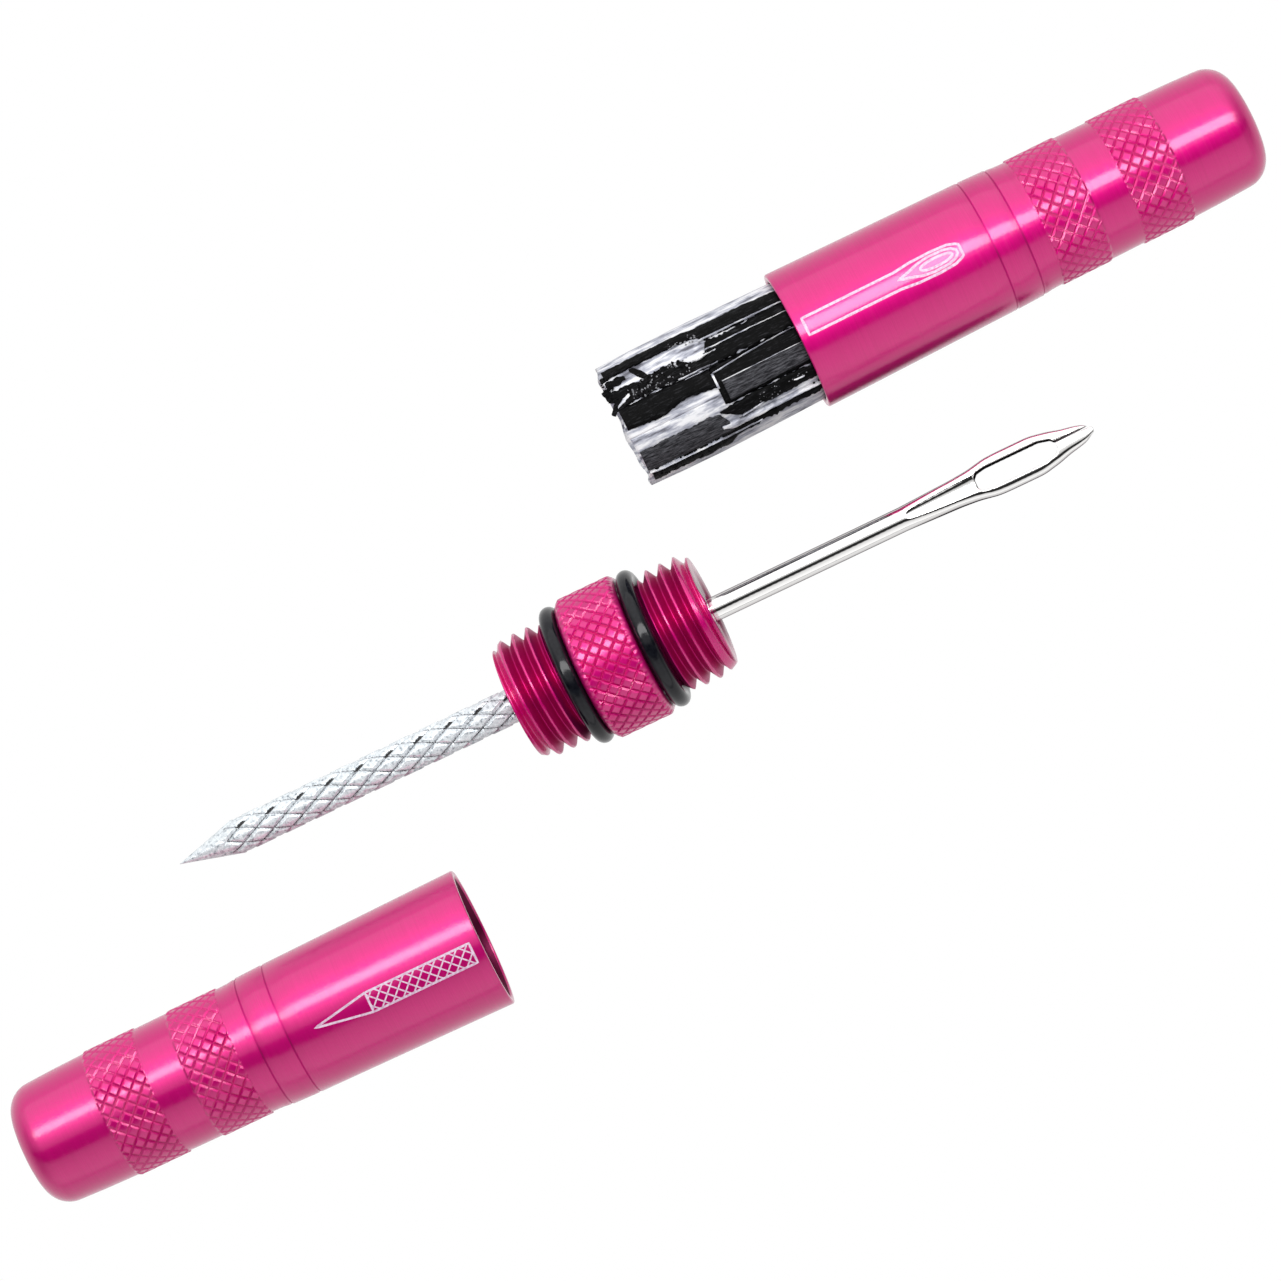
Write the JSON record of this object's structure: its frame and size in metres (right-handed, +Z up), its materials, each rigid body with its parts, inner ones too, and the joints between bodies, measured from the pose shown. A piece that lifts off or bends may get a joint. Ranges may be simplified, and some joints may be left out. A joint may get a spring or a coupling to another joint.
{
  "type": "tyre plug insertion tool",
  "caption": "Pocket tyre plug tool: knurled double-ended hub with a split-eye needle and a rasp, two screw caps, and a roll of rubber plug strips in one cap.",
  "frame": {"origin": "middle of the laid-out set's footprint, on the surface it lies on", "axes": "+X along the tool from the rasp to the needle, +Y towards the fork cap, +Z up"},
  "size_m": [0.1624, 0.0578, 0.0165],
  "materials": {
    "anodised_aluminium": "magenta anodised, satin turned",
    "ring_rubber": "smooth black, slight sheen",
    "chromed_needle": "polished chrome plate",
    "bright_steel": "bright, cut in crossing grooves",
    "film": "thin pale backing film, smeared with black rubber",
    "plug_rubber": "tacky black repair rubber, torn edges"
  },
  "bodies": {
    "tool": {"hub": "anodised_aluminium", "o_ring_fork_side": "ring_rubber", "o_ring_reamer_side": "ring_rubber", "fork_needle": "chromed_needle", "reamer_rasp": "bright_steel"},
    "fork_cap": {"fork_cap": "anodised_aluminium"},
    "reamer_cap": {"reamer_cap": "anodised_aluminium"},
    "plug_roll": {"backing_film": "film"},
    "plug_strip_01": {"plug_strip_01": "plug_rubber"},
    "plug_strip_02": {"plug_strip_02": "plug_rubber"},
    "plug_strip_03": {"plug_strip_03": "plug_rubber"},
    "plug_strip_04": {"plug_strip_04": "plug_rubber"},
    "plug_strip_05": {"plug_strip_05": "plug_rubber"},
    "plug_strip_06": {"plug_strip_06": "plug_rubber"},
    "plug_strip_07": {"plug_strip_07": "plug_rubber"},
    "plug_strip_08": {"plug_strip_08": "plug_rubber"},
    "plug_strip_09": {"plug_strip_09": "plug_rubber"},
    "plug_strip_10": {"plug_strip_10": "plug_rubber"},
    "plug_strip_11": {"plug_strip_11": "plug_rubber"},
    "plug_strip_12": {"plug_strip_12": "plug_rubber"}
  },
  "joints": [
    {"name": "fork_cap_slide", "type": "slide", "parent": "tool", "child": "fork_cap", "axis": [0.9998, 0.0171, -0.0128], "range_m": [-0.0264, 0.0245]},
    {"name": "reamer_cap_slide", "type": "slide", "parent": "tool", "child": "reamer_cap", "axis": [-0.9999, 0, -0.0128], "range_m": [-0.0201, 0.0255]},
    {"name": "plug_roll_slide", "type": "slide", "parent": "fork_cap", "child": "plug_roll", "axis": [-0.9998, -0.0171, 0.0128], "range_m": [-0.0205, 0.021]},
    {"name": "plug_strip_01_pull", "type": "slide", "parent": "plug_roll", "child": "plug_strip_01", "axis": [-0.9998, -0.0171, 0.0128], "range_m": [0, 0.042]},
    {"name": "plug_strip_02_pull", "type": "slide", "parent": "plug_roll", "child": "plug_strip_02", "axis": [-0.9998, -0.0171, 0.0128], "range_m": [0, 0.042]},
    {"name": "plug_strip_03_pull", "type": "slide", "parent": "plug_strip_04", "child": "plug_strip_03", "axis": [-0.9998, -0.0171, 0.0128], "range_m": [0, 0.042]},
    {"name": "plug_strip_04_pull", "type": "slide", "parent": "plug_roll", "child": "plug_strip_04", "axis": [-0.9998, -0.0171, 0.0128], "range_m": [0, 0.042]},
    {"name": "plug_strip_05_pull", "type": "slide", "parent": "plug_roll", "child": "plug_strip_05", "axis": [-0.9998, -0.0171, 0.0128], "range_m": [0, 0.042]},
    {"name": "plug_strip_06_pull", "type": "slide", "parent": "plug_strip_05", "child": "plug_strip_06", "axis": [-0.9998, -0.0171, 0.0128], "range_m": [0, 0.042]},
    {"name": "plug_strip_07_pull", "type": "slide", "parent": "plug_roll", "child": "plug_strip_07", "axis": [-0.9998, -0.0171, 0.0128], "range_m": [0, 0.042]},
    {"name": "plug_strip_08_pull", "type": "slide", "parent": "plug_roll", "child": "plug_strip_08", "axis": [-0.9998, -0.0171, 0.0128], "range_m": [0, 0.042]},
    {"name": "plug_strip_09_pull", "type": "slide", "parent": "plug_roll", "child": "plug_strip_09", "axis": [-0.9998, -0.0171, 0.0128], "range_m": [0, 0.042]},
    {"name": "plug_strip_10_pull", "type": "slide", "parent": "plug_roll", "child": "plug_strip_10", "axis": [-0.9998, -0.0171, 0.0128], "range_m": [0, 0.042]},
    {"name": "plug_strip_11_pull", "type": "slide", "parent": "plug_roll", "child": "plug_strip_11", "axis": [-0.9998, -0.0171, 0.0128], "range_m": [0, 0.042]},
    {"name": "plug_strip_12_pull", "type": "slide", "parent": "plug_roll", "child": "plug_strip_12", "axis": [-0.9998, -0.0171, 0.0128], "range_m": [0, 0.042]}
  ]
}
